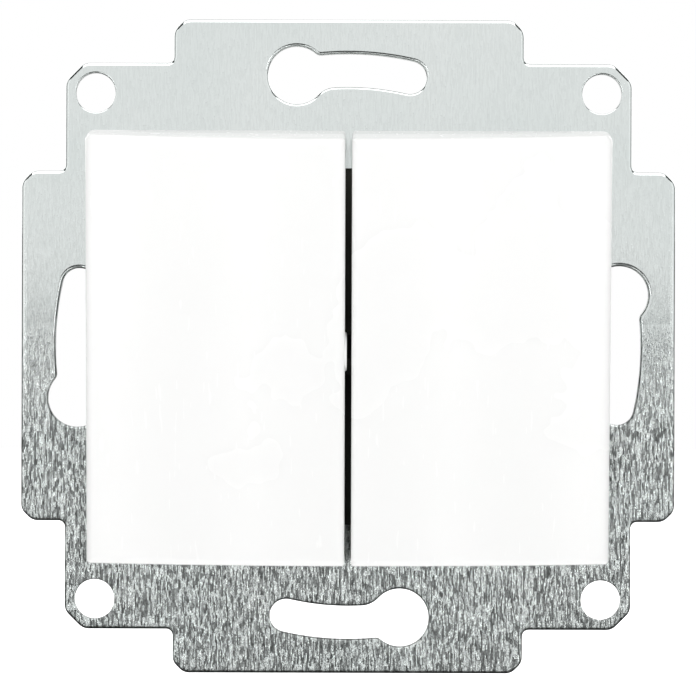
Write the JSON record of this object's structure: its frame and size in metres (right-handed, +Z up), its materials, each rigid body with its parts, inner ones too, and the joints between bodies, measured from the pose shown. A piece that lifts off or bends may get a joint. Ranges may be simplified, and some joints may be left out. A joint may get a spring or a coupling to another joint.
{
  "type": "two-gang rocker wall switch insert",
  "caption": "Flush-mount wall switch insert: side-by-side white rockers on a zinc-plated steel support plate with keyhole slots, claws and a terminal base.",
  "frame": {"origin": "centre of the support plate's rear face, which rests on the wall", "axes": "+Z up, +X to the right seen from the front, -Y out of the wall towards the user"},
  "size_m": [0.071, 0.0354, 0.071],
  "materials": {
    "zinc_steel_plate": "zinc plated, fine upright grain",
    "white_caps": "smooth, half gloss",
    "dark_carrier": "moulded, matt",
    "grey_mouldings": "moulded, matt",
    "plungers": "natural nylon",
    "steel_small": "zinc plated",
    "spring_steel": "bare spring wire",
    "brass_parts": "stamped and turned brass",
    "copper_arms": "stamped copper",
    "silver_contacts": "silver alloy rivets"
  },
  "bodies": {
    "frame": {"support_plate": "zinc_steel_plate", "base_housing": "grey_mouldings", "front_carrier": "dark_carrier", "carrier_screw_top_left": "steel_small", "carrier_screw_top_right": "steel_small", "carrier_screw_bottom_left": "steel_small", "carrier_screw_bottom_right": "steel_small", "common_strip": "brass_parts", "output_strip_left": "brass_parts", "output_strip_right": "brass_parts", "fixed_contact_left": "silver_contacts", "fixed_contact_right": "silver_contacts"},
    "left_rocker": {"rocker_left": "white_caps", "seesaw_left": "grey_mouldings", "plunger_spring_left": "spring_steel"},
    "left_plunger": {"plunger_left": "plungers"},
    "left_contact_arm": {"contact_arm_left": "copper_arms", "moving_contact_left": "silver_contacts"},
    "right_rocker": {"rocker_right": "white_caps", "seesaw_right": "grey_mouldings", "plunger_spring_right": "spring_steel"},
    "right_plunger": {"plunger_right": "plungers"},
    "right_contact_arm": {"contact_arm_right": "copper_arms", "moving_contact_right": "silver_contacts"},
    "common_terminal_screw": {"terminal_screw_common": "brass_parts"},
    "common_clamp_cage": {"clamp_cage_common": "steel_small"},
    "left_terminal_screw": {"terminal_screw_left": "brass_parts"},
    "left_clamp_cage": {"clamp_cage_left": "steel_small"},
    "right_terminal_screw": {"terminal_screw_right": "brass_parts"},
    "right_clamp_cage": {"clamp_cage_right": "steel_small"},
    "left_claw_screw": {"claw_screw_left": "steel_small"},
    "left_claw": {"claw_left": "steel_small"},
    "right_claw_screw": {"claw_screw_right": "steel_small"},
    "right_claw": {"claw_right": "steel_small"}
  },
  "joints": [
    {"name": "left_rocker_press", "type": "hinge", "parent": "frame", "child": "left_rocker", "pos_m": [-0.0081, -0.0034, 0], "axis": [-1, 0, 0], "range_deg": [0, 12]},
    {"name": "left_plunger_travel", "type": "slide", "parent": "left_rocker", "child": "left_plunger", "axis": [0, -0.9945, -0.1045], "range_m": [0, 0.001], "stiffness_N_per_m": 400, "deforming": ["plunger_spring_left"]},
    {"name": "left_contact_tip", "type": "hinge", "parent": "frame", "child": "left_contact_arm", "pos_m": [-0.0081, 0.0079, 0], "axis": [1, 0, 0], "range_deg": [0, 14]},
    {"name": "right_rocker_press", "type": "hinge", "parent": "frame", "child": "right_rocker", "pos_m": [0.0081, -0.0034, 0], "axis": [-1, 0, 0], "range_deg": [0, 12]},
    {"name": "right_plunger_travel", "type": "slide", "parent": "right_rocker", "child": "right_plunger", "axis": [0, -0.9945, -0.1045], "range_m": [0, 0.001], "stiffness_N_per_m": 400, "deforming": ["plunger_spring_right"]},
    {"name": "right_contact_tip", "type": "hinge", "parent": "frame", "child": "right_contact_arm", "pos_m": [0.0081, 0.0079, 0], "axis": [1, 0, 0], "range_deg": [0, 14]},
    {"name": "common_terminal_screw_turn", "type": "hinge", "parent": "frame", "child": "common_terminal_screw", "pos_m": [0, 0.01586, 0.016], "axis": [0, 0, -1], "range_deg": [0, 1440]},
    {"name": "common_clamp_cage_lift", "type": "slide", "parent": "frame", "child": "common_clamp_cage", "axis": [0, 0, 1], "range_m": [0, 0.0024]},
    {"name": "left_terminal_screw_turn", "type": "hinge", "parent": "frame", "child": "left_terminal_screw", "pos_m": [-0.0081, 0.01586, -0.016], "axis": [0, 0, 1], "range_deg": [0, 1440]},
    {"name": "left_clamp_cage_lift", "type": "slide", "parent": "frame", "child": "left_clamp_cage", "axis": [0, 0, -1], "range_m": [0, 0.0024]},
    {"name": "right_terminal_screw_turn", "type": "hinge", "parent": "frame", "child": "right_terminal_screw", "pos_m": [0.0081, 0.01586, -0.016], "axis": [0, 0, 1], "range_deg": [0, 1440]},
    {"name": "right_clamp_cage_lift", "type": "slide", "parent": "frame", "child": "right_clamp_cage", "axis": [0, 0, -1], "range_m": [0, 0.0024]},
    {"name": "left_claw_screw_turn", "type": "hinge", "parent": "frame", "child": "left_claw_screw", "pos_m": [-0.0236, 0.008, 0], "axis": [0, 1, 0], "range_deg": [0, 900]},
    {"name": "left_claw_swing", "type": "hinge", "parent": "frame", "child": "left_claw", "pos_m": [-0.0209, 0.0029, 0], "axis": [0, 0, 1], "range_deg": [0, 18]},
    {"name": "right_claw_screw_turn", "type": "hinge", "parent": "frame", "child": "right_claw_screw", "pos_m": [0.0236, 0.008, 0], "axis": [0, 1, 0], "range_deg": [0, 900]},
    {"name": "right_claw_swing", "type": "hinge", "parent": "frame", "child": "right_claw", "pos_m": [0.0209, 0.0029, 0], "axis": [0, 0, -1], "range_deg": [0, 18]}
  ],
  "couplings": [
    {"joint": "left_contact_tip", "follows": "left_rocker_press", "ratio": 1.1666},
    {"joint": "right_contact_tip", "follows": "right_rocker_press", "ratio": 1.1666},
    {"joint": "common_terminal_screw_turn", "follows": "common_clamp_cage_lift", "rad_per_m": 10472},
    {"joint": "left_terminal_screw_turn", "follows": "left_clamp_cage_lift", "rad_per_m": 10472},
    {"joint": "right_terminal_screw_turn", "follows": "right_clamp_cage_lift", "rad_per_m": 10472},
    {"joint": "left_claw_swing", "follows": "left_claw_screw_turn", "ratio": 0.0199},
    {"joint": "right_claw_swing", "follows": "right_claw_screw_turn", "ratio": 0.0199}
  ]
}
